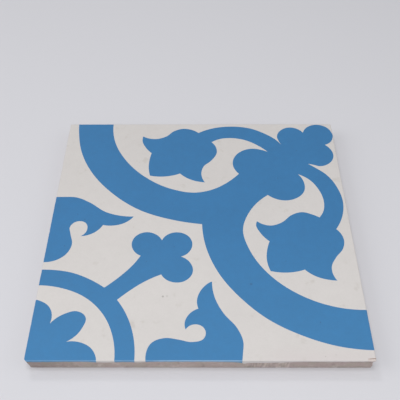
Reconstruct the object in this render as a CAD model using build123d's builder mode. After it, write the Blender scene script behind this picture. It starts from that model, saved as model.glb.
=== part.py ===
# Honed cement tile, pressed in one piece: a square face, and four sides that lean in to a plain back.
# Millimetres. The origin is the centre of the back, +Z goes up through the face, and -Y is the front side.
from build123d import *
import os

# Overall size
face_width = 200.0
face_depth = 200.0
thickness = 10.6

# Shape that the press leaves: each side lies in by this much at the back
side_lean = 1.25
corner_round = 0.9

# Edges eased by the honing and by handling
arris_round = 0.6
back_bevel = 0.2

# Knocks on the two front corners: the left one is worn, and a flake has left a round hollow in the right one
left_corner_wear = 2.0
flake_below_face = 4.6
flake_radius = 5.0
flake_depth = 1.6

# How far the sides lie in from the face's own edges: on the back, above its bevel, and at the face
inset_at_level = {
    0.0: side_lean + back_bevel,
    back_bevel: side_lean * (1 - back_bevel / thickness),
    thickness: 0.0,
}

# The ball that shapes the flake's hollow, centred outside the upright front right corner
lean_at_flake = side_lean * flake_below_face / thickness
flake_height = thickness - flake_below_face
corner_at_flake = Vector(face_width / 2 - lean_at_flake, lean_at_flake - face_depth / 2, flake_height)
out_from_corner = Vector(1, -1, 0).normalized()
flake_centre = corner_at_flake + out_from_corner * (flake_radius - flake_depth)

with BuildPart() as tile:
    # Square slab with three corners as pressed, and the front left one worn rounder
    for level, inset in inset_at_level.items():
        with BuildSketch(Plane.XY.offset(level)) as outline:
            Rectangle(face_width - 2 * inset, face_depth - 2 * inset)
            worn_corner = outline.vertices().group_by(Axis.Y)[0].sort_by(Axis.X)[0]
            pressed_corners = [corner for corner in outline.vertices() if corner != worn_corner]
            fillet(pressed_corners, radius=corner_round)
            worn_corner = outline.vertices().group_by(Axis.Y)[0].sort_by(Axis.X)[0]
            fillet(worn_corner, radius=left_corner_wear)
    loft(ruled=True)

    # Arris round the honed face
    fillet(tile.faces().sort_by(Axis.Z)[-1].edges(), radius=arris_round)

    # Flake broken off the front right corner, below the face
    with Locations(flake_centre):
        Sphere(flake_radius, mode=Mode.SUBTRACT)

tile.part.label = "tile"

os.makedirs("parts", exist_ok=True)
export_step(tile.part, "parts/tile.step")
print(f"tile: {tile.part.volume / 1000:.1f} cm3, box {tile.part.bounding_box().size}")
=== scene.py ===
# %% [markdown]
# # A honed cement tile
#
# The real object is one patterned cement tile. The maker lays coloured cement slip face down in a mould,
# covers it with brown-grey mortar, presses the two into one slab, and hones the face when it has cured.
# It has one piece, so this lesson makes one mesh with three finishes: blue slip, white slip and mortar.
#
# The tile's size and place come from a frame that is loaded first. Everything here is built around it.

# %% Load the tile's frame
import math

import bmesh
import bpy
from mathutils import Matrix, Vector, noise


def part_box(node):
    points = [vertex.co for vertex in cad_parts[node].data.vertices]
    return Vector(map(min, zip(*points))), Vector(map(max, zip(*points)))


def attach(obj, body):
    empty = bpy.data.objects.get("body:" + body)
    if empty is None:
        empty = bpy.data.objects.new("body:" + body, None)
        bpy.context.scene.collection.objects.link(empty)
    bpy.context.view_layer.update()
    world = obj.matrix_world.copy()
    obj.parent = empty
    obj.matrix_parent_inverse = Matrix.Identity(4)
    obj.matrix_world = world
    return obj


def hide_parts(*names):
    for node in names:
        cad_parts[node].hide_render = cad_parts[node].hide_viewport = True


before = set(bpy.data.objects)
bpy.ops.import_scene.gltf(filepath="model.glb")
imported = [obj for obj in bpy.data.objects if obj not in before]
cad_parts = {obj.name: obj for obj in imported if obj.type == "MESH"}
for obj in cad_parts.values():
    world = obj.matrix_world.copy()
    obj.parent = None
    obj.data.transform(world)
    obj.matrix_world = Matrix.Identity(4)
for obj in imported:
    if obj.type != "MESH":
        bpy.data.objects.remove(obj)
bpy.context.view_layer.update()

metres_to_mm = 1000.0
tile_low, tile_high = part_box("tile")
print("tile in the frame, mm:", [round(metres_to_mm * side, 2) for side in tile_high - tile_low])

# %% [markdown]
# ## Camera
#
# The photograph looks down on the tile at 48 degrees from in front. Its lens can be found from the tile
# itself, because the four corners of a square fix both the view and the focal length. A camera that
# points along -Z is turned by the look down, then round the upright axis, and a small roll comes first.

# %% Camera
picture_side = 400
focal_length_in_pixels = 651.27
sensor_width = 36.0
look_down = math.radians(48.35)
turn_right = math.radians(-0.39)
roll = math.radians(0.322)
camera_place = Vector((0.001778, -0.276608, 0.34608))

lens = bpy.data.cameras.new("camera")
lens.sensor_width = sensor_width
lens.lens = focal_length_in_pixels * sensor_width / picture_side
lens.clip_start = 0.01
camera = bpy.data.objects.new("camera", lens)
camera.matrix_world = (
    Matrix.Translation(camera_place)
    @ Matrix.Rotation(-turn_right, 4, "Z")
    @ Matrix.Rotation(math.pi / 2 - look_down, 4, "X")
    @ Matrix.Rotation(-roll, 4, "Z")
)
bpy.context.scene.collection.objects.link(camera)
bpy.context.scene.camera = camera
print("lens, mm:", round(lens.lens, 2))

# %% [markdown]
# ## Light
#
# The tile lies in the soft light of a studio: a bright room all round, a lamp overhead, one in
# front, which lights the front side and makes the floor a little brighter there, two wide ones at the
# sides, and a small one behind and to the left, which throws the narrow shadow in front of the tile.
# Each lamp is given by the share of the full light that it gives the tile's centre. The shares and the
# room add up to about 1, so that every colour renders about as it is written. Past the floor's far edge
# the camera sees the room itself, which is as pale as the floor to the camera's rays and to no others.

# %% Room light
scene = bpy.context.scene
scene.view_settings.view_transform = "Standard"

room_light = 0.34
room_seen = 0.62
room = bpy.data.worlds.new("room")
room.use_nodes = True
room_links = room.node_tree.links
background = room.node_tree.nodes["Background"]
background.inputs["Color"].default_value = (1, 1, 1, 1)
light_path = room.node_tree.nodes.new("ShaderNodeLightPath")
strength = room.node_tree.nodes.new("ShaderNodeMapRange")
strength.inputs["To Min"].default_value = room_light
strength.inputs["To Max"].default_value = room_seen
room_links.new(light_path.outputs["Is Camera Ray"], strength.inputs["Value"])
room_links.new(strength.outputs["Result"], background.inputs["Strength"])
scene.world = room
print("room light:", room_light, "as the camera sees it:", room_seen)


# %% Lamps
def add_lamp(name, place, width, share):
    """Square lamp that faces the tile, with the power for its share of the light there"""
    place = Vector(place)
    slant = place.z / place.length
    lamp = bpy.data.lights.new(name, "AREA")
    lamp.size = width
    lamp.energy = share * math.pi ** 2 * place.length_squared / slant
    holder = bpy.data.objects.new(name, lamp)
    holder.matrix_world = Matrix.Translation(place) @ place.to_track_quat("Z", "Y").to_matrix().to_4x4()
    scene.collection.objects.link(holder)
    print(name, "power, W:", round(lamp.energy, 2))


add_lamp("top_softbox", (0.0, -0.08, 1.3), 0.3, 0.19)
add_lamp("front_softbox", (0.0, -0.85, 0.95), 0.3, 0.27)
add_lamp("left_softbox", (-1.0, -0.1, 0.7), 0.8, 0.13)
add_lamp("right_softbox", (1.0, -0.1, 0.7), 0.8, 0.05)
add_lamp("back_lamp", (-0.38, 0.75, 1.25), 0.22, 0.09)

# %% [markdown]
# ## Floor
#
# The tile lies on a plain pale studio floor with a slight violet cast. It is one large flat square at
# the level of the tile's back.

# %% Floor
floor_half = 1.5
floor_colour = (0.64, 0.64, 0.675, 1)

floor_mesh = bpy.data.meshes.new("floor")
flat = bmesh.new()
bmesh.ops.create_grid(flat, x_segments=1, y_segments=1, size=floor_half)
bmesh.ops.translate(flat, verts=flat.verts[:], vec=(0, 0, tile_low.z))
flat.to_mesh(floor_mesh)
flat.free()
floor = bpy.data.objects.new("floor", floor_mesh)
scene.collection.objects.link(floor)

floor_paint = bpy.data.materials.new("floor_paint")
floor_paint.use_nodes = True
floor_shader = floor_paint.node_tree.nodes["Principled BSDF"]
floor_shader.inputs["Base Color"].default_value = floor_colour
floor_shader.inputs["Roughness"].default_value = 1.0
floor_shader.inputs["Specular IOR Level"].default_value = 0.0
floor_mesh.materials.append(floor_paint)

# %% [markdown]
# ## Sizes
#
# The mesh is worked in millimetres and made metres at the end, because the fill and the merging of
# points have tolerances that suit sizes near 1. The frame gives the tile's height and its width over the
# rounded arris. The press leaves sides that lean in towards the back, and the sizes of its corners are
# those of the solid in the frame.

# %% Sizes in millimetres
thickness = metres_to_mm * (tile_high.z - tile_low.z)
half_over_arris = metres_to_mm * tile_high.x

side_lean = 1.25
arris_round = 0.6
back_bevel = 0.2
corner_round = 0.9
worn_corner_round = 2.0
flake_below_face = 4.6
flake_radius = 5.0
flake_depth = 1.6

lean_angle = math.atan2(side_lean, thickness)
flat_half = half_over_arris - arris_round
sharp_half = flat_half + arris_round * math.tan((math.pi / 2 + lean_angle) / 2)
flat_inset = sharp_half - flat_half
print("honed flat, mm across:", round(2 * flat_half, 2), "sharp edges:", round(2 * sharp_half, 2))

# %% [markdown]
# ## Pattern
#
# On the real tile each colour is poured into its own cell of a brass divider, so a figure's edge is a
# run of smooth curves that meet at sharp points. The pattern is a quarter of a rosette that four tiles
# make together: a broad curved figure through the middle, a leaf on each side of the corner, a small
# ring, and a flower's quarter in the corner itself.
#
# Each list below is one blue figure, in plan from the tile's centre, in millimetres. It is a chain of
# strokes: each stroke starts where the one before ended, and is one smooth curve through its points, or
# a straight line where it has only one new point. A straight line also joins the last point to the
# first. Strokes that leave the tile run out past its edge, where they are cut off.

# %% Blue figures
great_figure = [
    [(-93.7, 104), (-92.3, 90), (-88, 70), (-79, 50.1), (-63.5, 30.2), (-39.9, 11.9), (-19.9, 4.3),
     (1.2, 0.2)],
    [(4, -20), (12, -40.2), (26.7, -60.2), (39.8, -72.4), (59.9, -83.9), (80, -90.8), (104, -93.2)],
    [(104, -66.2)],
    [(80, -63.9), (60, -55.1), (42.5, -39.7), (31.4, -20), (28.3, -5), (32.6, 9.6), (46.8, 26.4)],
    [(52, 22.8), (58.5, 21.3), (66, 23.2), (72.2, 29.5), (73.2, 37.5), (69.7, 46.3)],
    [(77, 41.1), (82.5, 31.8), (84.85, 21.5), (83.1, 10.7), (80.2, 6)],
    [(75.7, 8.6), (69, 10.7), (62.3, 8.6), (54.5, 1.7), (46.9, -1), (41.5, 0.3), (38, 2.7)],
    [(37.2, 0), (39.4, -6.8), (45.25, -14.3)],
    [(43.2, -21.4), (42.5, -29.5), (44.3, -38)],
    [(52.5, -39.2), (65.9, -36.9)],
    [(72.75, -42.25), (79.4, -44.5), (85.2, -45.2)],
    [(83, -35.3), (86.9, -27.3), (92.1, -20.6), (93.9, -13.5), (90.1, -4.1)],
    [(96, 8), (98, 20.5), (96.4, 31.5), (90, 45.7), (81.6, 53.8), (77.8, 56.8)],
    [(81.4, 55.9), (86, 54.4), (94.3, 58.2), (97.5, 66.5), (95.6, 73), (92.6, 76.7)],
    [(97.8, 80.6), (99.5, 87.2), (96.6, 95.4), (88.8, 99), (81.6, 96.4), (77.6, 90)],
    [(74, 94), (67.6, 95.9), (60.8, 92.6), (57.6, 85.6), (58.6, 80.6), (60.2, 76.6)],
    [(56.6, 82), (50, 87.9), (38, 94.7), (24, 97), (8.2, 94.6), (-1.6, 89.8)],
    [(-6.8, 93.3), (-13, 94.5), (-19.75, 92.1), (-26, 85.8), (-33, 83.2), (-43.2, 86)],
    [(-43.4, 80.5), (-41.2, 74.9), (-36, 68)],
    [(-37.2, 60.5), (-37.4, 54), (-36, 45)],
    [(-26.4, 44.1), (-14.6, 47.1)],
    [(-8, 41.7), (3.2, 38.5)],
    [(0.7, 48), (2.5, 54.5), (7.5, 59.7), (12.1, 69.5), (8.3, 79.6)],
    [(14, 82.9), (22.3, 84.1), (33.1, 81.9), (43.1, 75.6), (49.5, 69.3)],
    [(44.4, 71.5), (38, 72.6), (29.3, 69.3), (23.8, 60.8), (23.9, 53.4), (27.5, 46.9)],
    [(20.3, 39.4), (10, 32.3), (-3, 28.7), (-19.9, 32), (-39.8, 44.1), (-54, 60), (-63.9, 80), (-66.7, 104)],
]
left_leaf = [
    [(-104, 24.4), (-95, 24.7), (-86, 24.3), (-75.8, 19.4), (-63.9, 10.8), (-54, 7.6), (-44.9, 6.9)],
    [(-50.8, 1.2), (-58, -1), (-64.9, -0.5)],
    [(-70.5, -7.3), (-78.7, -10)],
    [(-75, -4), (-77.2, 1.7), (-82, 2.7), (-86.6, -1.6), (-85.6, -8), (-83.5, -16.8), (-86.3, -24.9),
     (-92.9, -29.9), (-104, -30.3)],
]
front_leaf = [
    [(23.4, -104), (24.6, -95), (25.1, -88), (21.8, -78.7), (14.2, -68.9), (8.8, -57.1), (7.4, -46)],
    [(6.3, -46.3)],
    [(0.3, -52.7), (-1.9, -61.2), (-1, -65.5)],
    [(-6.6, -69.5), (-9.1, -76), (-8.4, -79.8)],
    [(-2.8, -76.3), (2.6, -79.2), (2.4, -85.5), (-4, -87.95), (-12.5, -86.4), (-20.4, -85.4), (-28.4, -89),
     (-30.8, -95.2), (-29.6, -104)],
]
small_ring = [
    [(-104, -37.1), (-94, -37), (-80.6, -39.2), (-67.9, -44.7), (-59.1, -50.4)],
    [(-50.5, -42.5), (-42.3, -32.8), (-38.2, -26)],
    [(-43.7, -20.5), (-43.5, -11.7), (-36, -6.7), (-28.7, -8.9), (-25, -13.5)],
    [(-21.6, -8.8), (-14.8, -6.8), (-7.7, -10.1), (-5.1, -17.3), (-12.2, -26.7)],
    [(-6.4, -31.4), (-4.6, -38.6), (-9.3, -45.4), (-17, -46.4), (-24.4, -40.6)],
    [(-37, -47.7), (-42.2, -51.8), (-50.4, -59.3)],
    [(-43.5, -70.6), (-38.6, -85), (-37.3, -104)],
    [(-48.6, -104)],
    [(-51, -83.8), (-58, -69.4), (-70, -57.6), (-85, -50.9), (-104, -48.8)],
]
corner_flower = [
    [(-104, -58.8), (-97.6, -59.8), (-90.5, -64.8), (-88.7, -75.8)],
    [(-80.7, -69), (-74, -67.3), (-68.1, -71.4), (-69.3, -79), (-77.3, -87.8)],
    [(-69.7, -88.1), (-61.8, -92.8), (-58.8, -104)],
    [(-104, -104)],
]
blue_figures = [great_figure, left_leaf, front_leaf, small_ring, corner_flower]
print("blue figures:", len(blue_figures), "strokes:", sum(len(figure) for figure in blue_figures))

# %% [markdown]
# ## Smooth strokes
#
# Blender's automatic handles would round the sharp points, so each stroke gets its own. At an inner
# point the curve follows the circle through the point and its two neighbours, and at a stroke's ends it
# carries on the same bend. The handles are as long as those that make a true arc, so a round stretch
# needs only a few points.


# %% Handles for one stroke
def stroke_directions(points):
    """Unit direction in which a smooth stroke passes each of its points"""
    steps = [after - before for before, after in zip(points, points[1:])]
    if len(steps) == 1:
        return [steps[0].normalized()] * 2
    inner = [
        (before / before.length_squared + after / after.length_squared).normalized()
        for before, after in zip(steps, steps[1:])
    ]
    first = -inner[0].reflect(steps[0].normalized())
    last = -inner[-1].reflect(steps[-1].normalized())
    return [first, *inner, last]


def handle(direction, step):
    """Handle along a direction, as long as an arc over this step needs"""
    bend = max(direction.dot(step.normalized()), 0.0)
    return direction * step.length * 2 / (3 * (1 + bend))


# %% [markdown]
# ## Figures as a filled mesh
#
# A flat curve fills itself, and leaves out a curve that lies inside another. So the blue is the figures
# alone, and the white is a square with the figures cut out of it. Both become meshes and are joined
# point by point along their shared edges, which makes one flat sheet with a sharp edge between colours.


# %% Curve and fill
points_per_step = 6
square_half = 106.0
square = [[(-square_half, -square_half)], [(square_half, -square_half)], [(square_half, square_half)],
          [(-square_half, square_half)]]


def add_outline(curve, figure):
    """One closed spline of a flat curve, from a figure's strokes"""
    points = []
    before = []
    after = []
    start = figure[-1][-1]
    closing_line = figure[0][:1]
    first_stroke = figure[0][1:]
    for stroke in filter(None, [closing_line, first_stroke, *figure[1:]]):
        through = [Vector(point) for point in [start, *stroke]]
        start = stroke[-1]
        directions = stroke_directions(through)
        for index, (near, far) in enumerate(zip(through, through[1:])):
            after.append(near + handle(directions[index], far - near))
            before.append(far - handle(directions[index + 1], far - near))
            points.append(far)
    spline = curve.splines.new("BEZIER")
    spline.bezier_points.add(len(points) - 1)
    spline.use_cyclic_u = True
    for index, knot in enumerate(spline.bezier_points):
        knot.handle_left_type = "FREE"
        knot.handle_right_type = "FREE"
        knot.co = points[index].to_3d()
        knot.handle_left = before[index].to_3d()
        knot.handle_right = after[(index + 1) % len(after)].to_3d()


def filled(name, figures):
    """Mesh of a flat curve's fill"""
    curve = bpy.data.curves.new(name, "CURVE")
    curve.dimensions = "2D"
    curve.fill_mode = "FRONT"
    curve.resolution_u = points_per_step
    for figure in figures:
        add_outline(curve, figure)
    holder = bpy.data.objects.new(name, curve)
    scene.collection.objects.link(holder)
    seen = holder.evaluated_get(bpy.context.evaluated_depsgraph_get())
    mesh = bpy.data.meshes.new_from_object(seen)
    bpy.data.objects.remove(holder)
    bpy.data.curves.remove(curve)
    return mesh


# %% Blue and white in one sheet
blue, white, mortar = 0, 1, 2
weld = 0.0005

tile = bmesh.new()
for colour, figures in ((blue, blue_figures), (white, [square, *blue_figures])):
    already_there = len(tile.faces)
    fill = filled("fill", figures)
    tile.from_mesh(fill)
    bpy.data.meshes.remove(fill)
    for face in tile.faces[already_there:]:
        face.material_index = colour
bmesh.ops.remove_doubles(tile, verts=tile.verts[:], dist=weld)
print("points in the flat sheet:", len(tile.verts))


# %% [markdown]
# ## The honed flat
#
# The sheet is cut to the honed flat, which is a little smaller than the tile because the arris is
# rounded. Planes that touch the corner's circle cut the rounded corners. A grid of cuts then divides
# the flat into small cells, and the long thin triangles of the fill are dissolved, so that the surface
# has points wherever the edges need detail.


# %% Cut with planes
def cut(mesh, parts, place, facing, drop=False):
    """Divide parts of a mesh at a plane, and drop what lies in front of it if asked"""
    made = bmesh.ops.bisect_plane(
        mesh, geom=parts, dist=weld, plane_co=place, plane_no=facing, clear_outer=drop
    )
    return [part for part in made["geom"] if part.is_valid]


def everything(mesh):
    """All the parts of a mesh, as the cutting operator takes them"""
    return mesh.verts[:] + mesh.edges[:] + mesh.faces[:]


def corner_round_at(x, y):
    """Radius of the tile's upright corner in this quarter of the tile"""
    return worn_corner_round if x < 0 and y < 0 else corner_round


# %% Outline of the flat
corner_cuts = 7
for quarter in range(4):
    side = Matrix.Rotation(quarter * math.pi / 2, 3, "Z") @ Vector((1, 0, 0))
    cut(tile, everything(tile), side * flat_half, side, drop=True)
for quarter in range(4):
    turn = Matrix.Rotation(quarter * math.pi / 2, 3, "Z")
    diagonal = turn @ Vector((1, 1, 0))
    round_on_flat = corner_round_at(diagonal.x, diagonal.y) - flat_inset
    centre = diagonal * (flat_half - round_on_flat)
    for step in range(1, corner_cuts + 1):
        angle = step * math.pi / 2 / (corner_cuts + 1)
        towards = turn @ Vector((math.cos(angle), math.sin(angle), 0))
        cut(tile, everything(tile), centre + towards * round_on_flat, towards, drop=True)
area = {colour: sum(face.calc_area() for face in tile.faces if face.material_index == colour)
        for colour in (blue, white)}
print("blue, mm2:", round(area[blue]), "white, mm2:", round(area[white]))

# %% Grid of small cells
cell = 2.0


def cut_into_cells(mesh, parts):
    """Divide parts of a mesh along the grid's lines in both directions, and give back what they became"""
    lines_each_way = int(flat_half // cell)
    for axis in (Vector((1, 0, 0)), Vector((0, 1, 0))):
        for line in range(-lines_each_way, lines_each_way + 1):
            parts = cut(mesh, parts, axis * line * cell, axis)
    return parts


def on_grid(edge):
    """True where an edge runs along a line of the grid"""
    first, second = (vert.co for vert in edge.verts)
    slack = 2 * weld
    return any(
        abs(first[axis] - second[axis]) < slack
        and abs(first[axis] - cell * round(first[axis] / cell)) < slack
        for axis in (0, 1)
    )


def between_colours(edge):
    """True where blue lies on one side of an edge and white on the other"""
    return len({face.material_index for face in edge.link_faces}) > 1


cut_into_cells(tile, everything(tile))
spare = [edge for edge in tile.edges
         if len(edge.link_faces) == 2 and not on_grid(edge) and not between_colours(edge)]
bmesh.ops.dissolve_edges(tile, edges=spare, use_verts=False, use_face_split=False)
print("cells on the flat:", len(tile.faces))

# %% [markdown]
# ## Arris and sides
#
# The rim of the flat is extruded again and again: round the arris, down over the strip of slip, and
# down the mortar to the bevel at the back. Each new ring of points is then moved to its place, which is
# worked out from where its points lie on the rim: a core square, and a direction straight out from it.
# The wear and the roughness only ever go inwards, so the tile keeps its size.

# %% Finer points round the rim
longest_rim_edge = 1.1


def rim_of(mesh):
    """Edges of a mesh that have a face on one side only"""
    return [edge for edge in mesh.edges if edge.is_boundary]


bmesh.ops.subdivide_edges(
    tile, edges=[edge for edge in rim_of(tile) if edge.calc_length() > longest_rim_edge], cuts=1
)
rim_place = tile.verts.layers.float_vector.new("rim_place")
unrolled = tile.verts.layers.float_vector.new("unrolled")
for vert in tile.verts:
    vert[rim_place] = vert.co
    vert[unrolled] = vert.co
    vert.co.z = thickness
print("points round the rim:", len(rim_of(tile)))


# %% Rings
def unevenness(place, size, amount):
    """Smooth noise from 0 to about the amount, in millimetres"""
    return amount * max(0.0, 0.5 + 0.7 * noise.noise(place / size))


def out_from(start):
    """Core point, outward direction and corner radius for a place on the rim"""
    corner = corner_round_at(start.x, start.y)
    reach = flat_half - (corner - flat_inset)
    core = Vector([max(-reach, min(reach, start[axis])) for axis in (0, 1)] + [0.0])
    return core / reach, (start - core).normalized(), corner


def move_to(vert, half, height, run):
    """Put a ring's point at this half width and height, a run of surface away from the flat"""
    core, direction, corner = out_from(vert[rim_place])
    bend = min(corner, corner - flat_inset + max(half - flat_half, 0.0))
    vert.co = core * (half - bend) + direction * bend
    vert.co.z = height
    vert[unrolled] = vert[rim_place] + direction * run


def add_ring(mesh):
    """Extrude the open edge, and give back the new points and faces"""
    grown = bmesh.ops.extrude_edge_only(mesh, edges=rim_of(mesh))["geom"]
    verts = [part for part in grown if isinstance(part, bmesh.types.BMVert)]
    faces = [part for part in grown if isinstance(part, bmesh.types.BMFace)]
    return verts, faces


# %% Rounded arris
arris_steps = 5
arris_end = math.pi / 2 + lean_angle
wave_size = 24.0
wave_depth = 0.06
bite_size = 2.2
bite_depth = 0.5
shallowest_bite = 0.33
elsewhere = Vector((0, 0, 40))


def arris_wear(start):
    """How far the arris is worn back: in long waves, and in short rough bites"""
    waves = unevenness(start, wave_size, wave_depth)
    bites = max(0.0, unevenness(start + elsewhere, bite_size, bite_depth) - shallowest_bite)
    return waves + bites


for step in range(1, arris_steps + 1):
    angle = arris_end * step / arris_steps
    for vert in add_ring(tile)[0]:
        worn_round = arris_round - arris_wear(vert[rim_place]) * math.sin(angle)
        half = flat_half + worn_round * math.sin(angle)
        height = thickness - arris_round + worn_round * math.cos(angle)
        move_to(vert, half, height, arris_round * angle)
arris_foot = thickness - arris_round * (1 - math.cos(arris_end))
print("arris foot at height, mm:", round(arris_foot, 2))

# %% [markdown]
# ## Strip of slip on the sides
#
# The press squeezes a little slip down between the mould and the mortar, so both colours turn over the
# edge and end in a line 1 to 2 mm below the face. The line is nearly straight along much of a side, and
# sags or drips where more slip was squeezed out.

# %% Foot of the slip
slip_below_face = 1.3
slip_waver = 0.35
slip_waver_size = 12.0
slip_ripple = 0.5
slip_ripple_size = 1.5
least_below_arris = 0.2
slip_rings = 3
# Place on the rim, half length of the sag and how much deeper it reaches, or less deep where negative
slip_runs = [
    (Vector((-92.0, -flat_half, 0)), 10.0, 0.4),
    (Vector((95.0, -flat_half, 0)), 8.0, -0.35),
    (Vector((-54.0, -flat_half, 0)), 9.0, 0.8),
    (Vector((-35.0, -flat_half, 0)), 5.0, 0.6),
    (Vector((25.2, -flat_half, 0)), 1.4, 1.3),
    (Vector((31.0, -flat_half, 0)), 11.0, 1.5),
    (Vector((46.0, -flat_half, 0)), 8.0, 0.6),
    (Vector((flat_half, -24.0, 0)), 2.0, 2.0),
    (Vector((flat_half, 61.0, 0)), 3.0, 1.3),
    (Vector((-flat_half, 47.0, 0)), 2.2, 1.8),
    (Vector((-flat_half, -33.0, 0)), 2.6, 1.0),
    (Vector((58.0, flat_half, 0)), 2.2, 2.4),
    (Vector((-12.0, flat_half, 0)), 3.5, 1.1),
]


def side_half(height):
    """Half width of the tile where its leaning side reaches this height"""
    return sharp_half - side_lean * (thickness - height) / thickness


def slip_depth(start):
    """How far below the face the slip ends at a place on the rim"""
    depth = slip_below_face + unevenness(start, slip_waver_size, slip_waver)
    for place, half_length, deeper in slip_runs:
        sag = math.exp(-((start - place).length / half_length) ** 2)
        depth += sag * (deeper + unevenness(start, slip_ripple_size, slip_ripple))
    return max(depth, thickness - arris_foot + least_below_arris)


# %% Rings of the slip
side_waver = 0.16
side_waver_size = 3.0
for step in range(1, slip_rings + 1):
    verts, faces = add_ring(tile)
    for vert in verts:
        depth = slip_depth(vert[rim_place])
        height = arris_foot + (thickness - depth - arris_foot) * step / slip_rings
        worn = arris_wear(vert[rim_place]) * (1 - step / slip_rings)
        place = vert[rim_place] + Vector((0, 0, height))
        waver = unevenness(place, side_waver_size, side_waver) * step / slip_rings
        run = arris_round * arris_end + arris_foot - height
        move_to(vert, side_half(height) - worn - waver, height, run)
lowest_slip = min(vert.co.z for vert in verts)
print("lowest drop of slip, mm below the face:", round(thickness - lowest_slip, 2))

# %% [markdown]
# ## Mortar sides and back
#
# Below the slip the side is bare mortar, rough from the mould. Its rings are spread evenly from the
# slip's uneven foot to the bevel. The back is one face over the last ring, cut into cells and pitted.

# %% Mortar sides
side_rings = 9
side_pits = 0.3
fine_pit_size = 1.3
coarse_pit_size = 2.6
foot_heights = {vert: vert.co.z for vert in verts}


def pits(place, depth):
    """Depth of the hollows that sand and air leave in pressed mortar: fine ones, and a few coarse ones"""
    coarse = unevenness(place, coarse_pit_size, 3 * depth) - 2.1 * depth
    return unevenness(place, fine_pit_size, depth / 2) + max(0.0, coarse)


for step in range(1, side_rings + 1):
    start_heights = foot_heights
    verts, faces = add_ring(tile)
    foot_heights = {}
    for face in faces:
        face.material_index = mortar
    for vert in verts:
        neighbours = [edge.other_vert(vert) for edge in vert.link_edges]
        foot_heights[vert] = next(start_heights[other] for other in neighbours if other in start_heights)
        height = foot_heights[vert] + (back_bevel - foot_heights[vert]) * step / side_rings
        place = vert[rim_place] + Vector((0, 0, height))
        inwards = unevenness(place, side_waver_size, side_waver) + pits(place, side_pits)
        move_to(vert, side_half(height) - inwards, height, 0.0)
print("highest foot of the slip, mm:", round(max(foot_heights.values()), 2))

# %% Bevel and back
back_pits = 0.22
away_from_sides = Vector((0, 0, 90))
back_half = side_half(0) - back_bevel
pitted_half = back_half - cell / 2
for vert in add_ring(tile)[0]:
    move_to(vert, back_half, 0.0, 0.0)
back = bmesh.ops.contextual_create(tile, geom=rim_of(tile))["faces"]
back_parts = cut_into_cells(tile, back + list(back[0].edges) + list(back[0].verts))
for part in back_parts:
    if isinstance(part, bmesh.types.BMVert) and max(abs(part.co.x), abs(part.co.y)) < pitted_half:
        part.co.z += pits(part.co + away_from_sides, back_pits)
print("faces after the back is closed:", len(tile.faces))

# %% [markdown]
# ## Flaked corner
#
# A knock has broken a flake off the front right corner, and has left a round hollow just below the slip.
# The hollow is the surface of a ball whose centre lies outside the corner. So the mesh is divided more
# finely there, and each point inside the ball is pushed out to its surface, with some noise so that the
# break looks torn.

# %% Flaked corner
flake_relief = 0.35
torn_size = 1.1
flake_margin = 0.8
flake_cuts = 2
flake_height = thickness - flake_below_face
flake_corner = Vector((side_half(flake_height), -side_half(flake_height), flake_height))
flake_centre = flake_corner + Vector((1, -1, 0)).normalized() * (flake_radius - flake_depth)


def within_flake(vert, margin=0.0):
    """How far a point lies inside the ball of the flake, or a little more with a margin"""
    return flake_radius + margin - (vert.co - flake_centre).length


near_flake = [edge for edge in tile.edges
              if all(within_flake(vert, flake_margin) > 0 for vert in edge.verts)]
bmesh.ops.subdivide_edges(tile, edges=near_flake, cuts=flake_cuts, use_grid_fill=True)
hollow = [vert for vert in tile.verts if within_flake(vert) > 0]
for vert in hollow:
    torn = unevenness(vert.co, torn_size, flake_relief) * min(1.0, within_flake(vert) / flake_relief)
    vert.co = flake_centre + (vert.co - flake_centre).normalized() * (flake_radius + torn)
bmesh.ops.recalc_face_normals(tile, faces=tile.faces[:])
print("points in the hollow:", len(hollow))
print("open edges left:", len(rim_of(tile)))

# %% [markdown]
# ## Own map for the bake
#
# The map is made for a bake of the finish to a picture. Blue and white get separate quarters of that
# picture, so their shared edge stays as sharp as the mesh. The back has a third quarter, and the four
# sides are laid in the last one as half-length strips, at twice the scale.

# %% Map
edge_gap = 0.006
quarter_half = 0.25 - edge_gap
slip_room = 6.5
face_scale = quarter_half / (half_over_arris + slip_room)
back_scale = quarter_half / half_over_arris
quarter_centre = {blue: Vector((0.25, 0.75)), white: Vector((0.75, 0.75)), "back": Vector((0.25, 0.25))}

strips = 8
strip_margin = 1.0
strip_scale = 2 * quarter_half / (half_over_arris + 2 * strip_margin)
strip_start = 0.5 + edge_gap + strip_scale * strip_margin
strip_pitch = 2 * quarter_half / strips
print("map, parts of the picture for one mm: face", round(face_scale, 5), "sides", round(strip_scale, 5))


def strip_place(face, point):
    """Place of a point of the mortar sides in the strips of the last quarter"""
    sideways = abs(face.normal.x) > abs(face.normal.y)
    # Axis that the side runs along, and axis that it faces: 0 is X and 1 is Y
    run, outwards = (1, 0) if sideways else (0, 1)
    far_half = face.calc_center_median()[run] > 0
    far_side = face.normal[outwards] > 0
    strip = 4 * sideways + 2 * far_side + far_half
    from_left = strip_start + strip_scale * abs(point[run])
    from_foot = edge_gap + strip_pitch * strip + strip_scale * point.z
    return Vector((from_left, from_foot))


# %% Lay every face on the map
deepest_back_pit = 0.5
faces_down = -0.5
bake_map = tile.loops.layers.uv.new("OFBake")
for face in tile.faces:
    on_back = face.normal.z < faces_down and face.calc_center_median().z < deepest_back_pit
    for loop in face.loops:
        if face.material_index in (blue, white):
            centre = quarter_centre[face.material_index]
            loop[bake_map].uv = centre + loop.vert[unrolled].to_2d() * face_scale
        elif on_back:
            loop[bake_map].uv = quarter_centre["back"] + loop.vert.co.to_2d() * back_scale
        else:
            loop[bake_map].uv = strip_place(face, loop.vert.co)
print("corners on the map:", sum(len(face.loops) for face in tile.faces))

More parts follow.
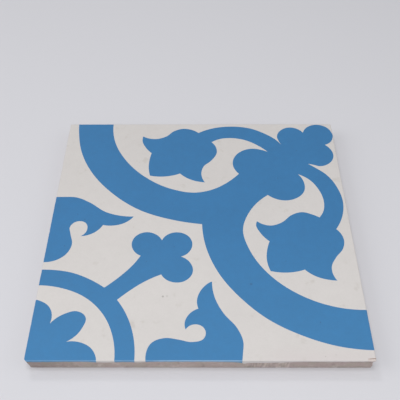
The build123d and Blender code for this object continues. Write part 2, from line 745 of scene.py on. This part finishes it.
# %% Tile as an object
level_normal = 0.999
for face in tile.faces:
    face.smooth = face.normal.z < level_normal
bmesh.ops.scale(tile, verts=tile.verts[:], vec=(1 / metres_to_mm,) * 3)
bmesh.ops.translate(tile, verts=tile.verts[:], vec=(0, 0, tile_low.z))
tile_mesh = bpy.data.meshes.new("cement_tile")
tile.to_mesh(tile_mesh)
tile.free()
cement_tile = bpy.data.objects.new("cement_tile", tile_mesh)
scene.collection.objects.link(cement_tile)
triangles = sum(len(polygon.vertices) - 2 for polygon in tile_mesh.polygons)
print("triangles:", triangles)

# %% [markdown]
# ## Shader maths as expressions
#
# A finish is a sum of small effects: clouds of pigment, grain, specks, wear. Written with nodes alone it
# is hard to read, so a small class wraps a node's output and lets Python's own operators add the Math
# nodes. Any other node comes from one method, which takes its type, its settings and its sockets.


# %% Class for a value on the surface
class Surface:
    """A value that varies over a material's surface: the output of one of its nodes"""

    def __init__(self, material, socket=None):
        self.material = material
        self.socket = socket

    def node(self, kind, settings, sockets, output=0):
        tree = self.material.node_tree
        made = tree.nodes.new(kind)
        for name, setting in settings.items():
            setattr(made, name, setting)
        for name, value in sockets.items():
            if isinstance(value, Surface):
                tree.links.new(value.socket, made.inputs[name])
            else:
                made.inputs[name].default_value = value
        return Surface(self.material, made.outputs[output])

    def maths(self, operation, first, second=0.0):
        return self.node("ShaderNodeMath", {"operation": operation}, {0: first, 1: second})

    def __add__(self, other):
        return self.maths("ADD", self, other)

    def __sub__(self, other):
        return self.maths("SUBTRACT", self, other)

    def __rsub__(self, other):
        return self.maths("SUBTRACT", other, self)

    def __mul__(self, other):
        return self.maths("MULTIPLY", self, other)

    def __abs__(self):
        return self.maths("ABSOLUTE", self)

    __radd__ = __add__
    __rmul__ = __mul__


# %% Start of a finish, and steps
def start_finish(name):
    """New material, and the place on the tile as a value in metres"""
    material = bpy.data.materials.new(name)
    material.use_nodes = True
    blank = Surface(material)
    place = blank.node("ShaderNodeTexCoord", {}, {}, output="Object")
    return material, place


def step_up(value, low, high):
    """0 below the low value, 1 above the high one, and smooth between"""
    return value.node(
        "ShaderNodeMapRange", {"interpolation_type": "SMOOTHSTEP"},
        {"Value": value, "From Min": low, "From Max": high, "To Min": 0.0, "To Max": 1.0},
    )


def step_down(value, low, high):
    """1 below the low value, 0 above the high one, and smooth between"""
    return 1 - step_up(value, low, high)


def close_to(value, middle, inner, outer):
    """1 where the value is within an inner distance of a middle one, 0 past an outer one"""
    return step_down(abs(value - middle), inner, outer)


# %% Patterns that every finish uses
def moved_by(place, shift, stretch=(1.0, 1.0, 1.0)):
    """The place shifted the same way along each axis, so that two patterns don't coincide"""
    return place.node(
        "ShaderNodeMapping", {"vector_type": "POINT"},
        {"Vector": place, "Location": (shift,) * 3, "Scale": stretch},
    )


def cloud(place, size, detail, shift=0.0, stretch=(1.0, 1.0, 1.0)):
    """Noise from 0 to 1 with lumps of about this size in millimetres"""
    return place.node(
        "ShaderNodeTexNoise", {"noise_dimensions": "3D"},
        {"Vector": moved_by(place, shift, stretch), "Scale": metres_to_mm / size, "Detail": detail,
         "Roughness": 0.55},
    )


def specks(place, spacing, largest_radius, shift=0.0):
    """Small dots, one in each cell of a loose grid, of any radius up to the largest, in millimetres"""
    sockets = {"Vector": moved_by(place, shift), "Scale": metres_to_mm / spacing}
    distance = place.node("ShaderNodeTexVoronoi", {"feature": "F1"}, sockets, output="Distance")
    lot = place.node("ShaderNodeTexVoronoi", {"feature": "F1"}, sockets, output="Color")
    drawn = lot.node("ShaderNodeSeparateColor", {}, {"Color": lot}, output="Red")
    radius = drawn * (largest_radius / spacing)
    return step_up(radius - distance, 0.0, 0.3 * largest_radius / spacing)


# %% Places and marks
def along(place, axis):
    """One coordinate of the place, in millimetres"""
    return place.node("ShaderNodeSeparateXYZ", {}, {"Vector": place}, output=axis) * metres_to_mm


def mark(place, x, y, radius):
    """One soft round mark on the face, at this place in plan and of this radius, in millimetres"""
    middle = tuple(value / metres_to_mm for value in (x, y, thickness))
    distance = place.node(
        "ShaderNodeVectorMath", {"operation": "DISTANCE"}, {0: place, 1: middle}, output="Value"
    )
    return step_down(distance * metres_to_mm, 0.4 * radius, radius)


# %% Colours and the finished shader
# Sockets of a Mix node that mixes colours
mix_amount = 0
mix_first = 6
mix_second = 7
mixed = 2


def blend_colour(amount, first, second):
    """Colour between two, by an amount from 0 to 1"""
    return amount.node(
        "ShaderNodeMix", {"data_type": "RGBA", "blend_type": "MIX"},
        {mix_amount: amount, mix_first: first, mix_second: second}, output=mixed,
    )


def shade(colour, brightness):
    """A colour times a brightness near 1"""
    return brightness.node(
        "ShaderNodeMix", {"data_type": "RGBA", "blend_type": "MULTIPLY"},
        {mix_amount: 1.0, mix_first: colour, mix_second: brightness}, output=mixed,
    )


def finish_with(material, colour, roughness, relief, relief_in_mm):
    """Link a finish's colour, roughness and relief to its shader"""
    shader = material.node_tree.nodes["Principled BSDF"]
    bump = relief.node(
        "ShaderNodeBump", {}, {"Strength": 1.0, "Distance": relief_in_mm / metres_to_mm, "Height": relief},
        output="Normal",
    )
    for name, value in (("Base Color", colour), ("Roughness", roughness), ("Normal", bump)):
        material.node_tree.links.new(value.socket, shader.inputs[name])
    print(material.name, "nodes:", len(material.node_tree.nodes))


# %% [markdown]
# ## Blue slip
#
# The blue is pigment stirred into cement by hand, so it is a little lighter and darker in soft patches,
# with a fine grain from the marble dust and a few open pores. It is painted paler towards the front, as a
# painted sheen. The honing leaves it matt. Along the arris it is paler, most of all in the middle of the
# front.

# %% Blue finish
blue_pigment = (0.033, 0.176, 0.393, 1)
blue_paler = (0.22, 0.55, 0.70, 1)
blue_arris_tone = (0.30, 0.45, 0.62, 1)
pore_colour = (0.03, 0.06, 0.11, 1)

blue_slip, place = start_finish("blue_slip")
patches = cloud(place, 34, 3)
mottle = cloud(place, 5, 3, shift=0.3)
grain = cloud(place, 0.9, 2, shift=0.7)
pores = specks(place, 5.5, 0.42)
x = along(place, "X")
y = along(place, "Y")
z = along(place, "Z")
# Painted sheen: the blue is made lighter and paler towards the front, as light would make it.
painted_sheen_in_front = step_down(y, -100, 20)
brightness = 0.785 + 0.13 * patches + 0.14 * mottle + 0.10 * grain + 0.05 * painted_sheen_in_front
colour = shade(blue_pigment, brightness)
colour = blend_colour(0.03 * painted_sheen_in_front, colour, blue_paler)

# %% Blue along the arris
front_strip = step_down(y, -99.5, -99.0) * step_down(z, thickness - 0.9, thickness - 0.6)
colour = blend_colour(0.25 * front_strip, colour, blue_paler)
off_edge = x.maths("MAXIMUM", abs(x), abs(y))
on_arris = step_up(off_edge, flat_half, flat_half + 0.5) * step_up(z, thickness - 1.2, thickness - 0.5)
less_off_front = 0.12 + 0.88 * step_down(y, -98.5, -97.5)
less_at_left = 0.72 + 0.28 * step_up(x, -75, -55)
front_middle = close_to(x, 0, 20, 30) * step_down(y, -90, -80)
uneven = 0.25 + 0.45 * front_middle + 0.5 * cloud(place, 7, 3, shift=0.5)
# Paler along the arris, most of all in the middle of the front.
paler_arris = on_arris * less_off_front * less_at_left * uneven
colour = blend_colour(paler_arris, colour, blue_arris_tone)
colour = blend_colour(0.5 * pores + 0.3 * mark(place, 31.5, -47.8, 1.2), colour, pore_colour)
finish_with(blue_slip, colour, 0.62 + 0.14 * mottle, grain + 0.6 * mottle - 1.2 * pores, 0.05)

# %% [markdown]
# ## White slip
#
# The white is off-white cement with marble dust. It takes up dirt, so it shows warm clouds, fine grey
# specks and a few stains. A fine crack with dirt in it crosses the tip of the flaked corner, and the
# thin piece of slip in front of it is a little pinker.

# %% White finish
white_cement = (0.626, 0.600, 0.586, 1)
stain_colour = (0.42, 0.39, 0.34, 1)
speck_colour = (0.25, 0.23, 0.21, 1)
pinker_cement = (0.62, 0.56, 0.56, 1)

white_slip, place = start_finish("white_slip")
x = along(place, "X")
y = along(place, "Y")
patches = cloud(place, 40, 3, shift=0.9)
mottle = cloud(place, 6, 3, shift=0.2)
grain = cloud(place, 1.0, 2, shift=0.4)
pores = specks(place, 6.0, 0.38, shift=0.6)
# Painted light: the last term makes the white lighter towards the front, as the light falls there.
brightness = 0.85 + 0.07 * patches + 0.06 * mottle + 0.07 * grain + 0.05 * step_down(y, -90, 90)
colour = shade(white_cement, brightness)
colour = blend_colour(0.3 * step_up(cloud(place, 9, 4, shift=0.8), 0.6, 0.75), colour, stain_colour)
dirt = mark(place, -22.7, -56.9, 0.9) + 0.4 * mark(place, -20.2, -56.6, 0.9)
colour = blend_colour(0.55 * pores + 0.6 * dirt, colour, speck_colour)
pinker = step_down(y, -98, -88) * step_up(x, 30, 50)
colour = blend_colour(0.35 * pinker, colour, pinker_cement)

# %% Crack across the tip of the corner
crack_colour = (0.30, 0.19, 0.155, 1)
tip_colour = (0.58, 0.49, 0.45, 1)
crack_start = 94.8
crack_end = 99.5
crack_y = -98.7
crack_slope = 0.085
crack_waver = 0.8
crack_fade = 0.6

waver = crack_waver * (cloud(place, 1.5, 2, shift=0.1) - 0.5)
behind_crack = y - crack_y - crack_slope * (x - crack_start) + waver
at_tip = step_up(x, crack_start, crack_start + crack_fade)
colour = blend_colour(0.5 * at_tip * step_down(behind_crack, -0.2, 0.1), colour, tip_colour)
darker_outwards = 0.45 + 0.5 * step_up(x, crack_start, crack_end)
crack = at_tip * darker_outwards * close_to(behind_crack, 0, 0.12, 0.38)
colour = blend_colour(crack, colour, crack_colour)
finish_with(white_slip, colour, 0.66 + 0.14 * mottle, grain + 0.6 * mottle - 1.2 * pores, 0.05)

# %% [markdown]
# ## Mortar
#
# The body is brown-grey sand and cement. Its sides are mottled olive and pinkish brown, with pale dust
# and dark damp-looking streaks, and its surface is rough. On the front side the left end is darker, the
# right half has a run of upright streaks, a pale smear beside them and a painted shade under the slip, and
# some lighter blotches lie low in the middle.

# %% Mortar finish
mortar_brown = (0.425, 0.343, 0.325, 1)
mortar_olive = (0.405, 0.350, 0.31, 1)
mortar_pale = (0.55, 0.485, 0.46, 1)
mortar_dark = (0.24, 0.195, 0.18, 1)
mortar_smear = (0.62, 0.53, 0.50, 1)

bare_mortar, place = start_finish("bare_mortar")
lumps = cloud(place, 6, 3)
sand = cloud(place, 0.7, 2, shift=0.3)
upright = cloud(place, 3.2, 2, shift=0.5, stretch=(1.0, 1.0, 0.25))
grit = specks(place, 2.2, 0.4, shift=0.1)
colour = blend_colour(step_up(lumps, 0.42, 0.62), mortar_brown, mortar_olive)
colour = blend_colour(0.7 * step_up(cloud(place, 4, 4, shift=0.8), 0.5, 0.75), colour, mortar_pale)
colour = blend_colour(0.5 * step_up(upright, 0.55, 0.75), colour, mortar_dark)
colour = blend_colour(0.6 * grit, colour, mortar_dark)

# %% Marks on the front side's mortar
x = along(place, "X")
z = along(place, "Z")
on_front = step_down(along(place, "Y"), -97, -96)
low_middle = close_to(x, -10, 4, 9) * step_down(z, 2, 5) * on_front
colour = blend_colour(0.6 * low_middle * step_up(cloud(place, 3, 2), 0.4, 0.6), colour, mortar_smear)
smear = close_to(x, 51, 0.3, 0.8) * on_front
colour = blend_colour(0.45 * smear, colour, mortar_smear)
streaks = cloud(place, 1.3, 0, shift=0.5, stretch=(1.0, 1.0, 0.12)) - 0.5
streaks = streaks * close_to(x, 38.5, 12, 14) * on_front
left_end = step_down(x, -95, -62) * on_front
# Painted shade: the mortar just under the slip is darkened, where the side lies in shade.
painted_shade_under_slip = step_up(z, 7.5, 9.2) * step_up(x, 45, 60) * on_front
brightness = (0.84 + 0.4 * sand) * (1 - 0.28 * left_end) * (1 - 0.22 * painted_shade_under_slip)
colour = shade(colour, brightness + 1.1 * streaks)
finish_with(bare_mortar, colour, 0.85 + 0.1 * sand, sand + 1.5 * lumps - grit, 0.18)

# %% [markdown]
# ## Hand the tile over
#
# The finished mesh stands for the plain solid in the frame, and moves with the same body.

# %% Finish
for finish in (blue_slip, white_slip, bare_mortar):
    tile_mesh.materials.append(finish)
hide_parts("tile")
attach(cement_tile, "root")
